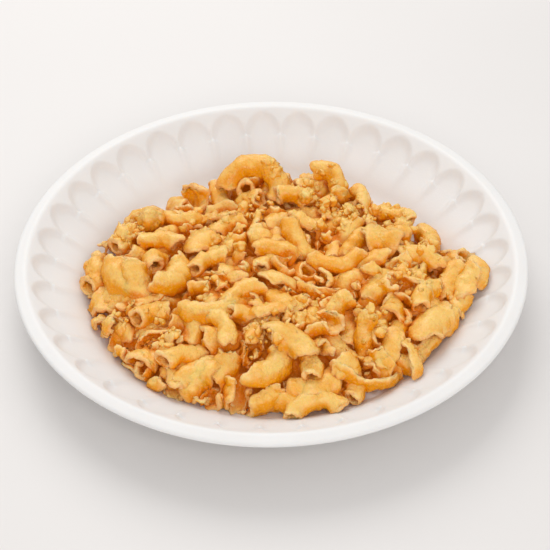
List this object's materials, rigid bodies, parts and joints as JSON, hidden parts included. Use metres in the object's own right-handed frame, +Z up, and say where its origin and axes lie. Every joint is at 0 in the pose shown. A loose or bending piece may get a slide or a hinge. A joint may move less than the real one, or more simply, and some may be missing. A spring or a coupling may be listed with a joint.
{
  "type": "mac and cheese",
  "caption": "Heap of cheesy elbow macaroni lying uneven on its round white foam plate with a fluted wall and a turned-down lip.",
  "frame": {"origin": "middle of the plate's flat base", "axes": "+Z up out of the plate, the heap's long side along X, its front towards -Y"},
  "size_m": [0.224, 0.224, 0.0346],
  "materials": {
    "plate_foam": "white pressed foam with a faint bead texture and a soft satin skin",
    "cheesy_pasta": "creamy golden cheese sauce over cooked pasta, satin with small moist highlights"
  },
  "bodies": {
    "root": {"plate": "plate_foam", "pasta_heap": "cheesy_pasta"}
  },
  "joints": []
}
